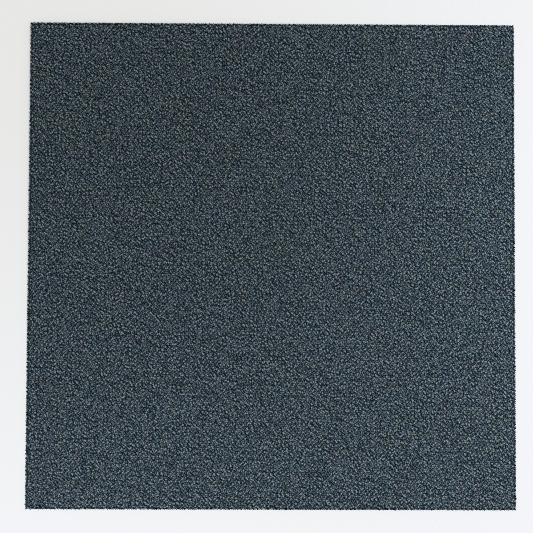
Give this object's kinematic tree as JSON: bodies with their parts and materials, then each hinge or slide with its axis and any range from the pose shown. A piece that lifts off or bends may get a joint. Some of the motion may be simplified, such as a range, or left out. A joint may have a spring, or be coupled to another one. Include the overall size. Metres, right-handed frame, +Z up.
{
  "type": "carpet tile",
  "caption": "Square loop-pile carpet tile in flecked slate blue-grey, with a heavy flat backing, lying flat with its pile up.",
  "frame": {"origin": "centre of the tile's underside, where it rests on the floor", "axes": "+Z up, out of the pile; +Y along the rows of loops, towards the top edge of the picture; +X across the rows"},
  "size_m": [0.5, 0.5, 0.0065],
  "materials": {
    "backing": "matt charcoal, fine stipple from the casting belt",
    "yarn": "multi-colour looped yarn, flecked navy, slate and pale blue-grey, dull"
  },
  "bodies": {
    "root": {"backing": "backing", "loop_pile": "yarn"}
  },
  "joints": []
}
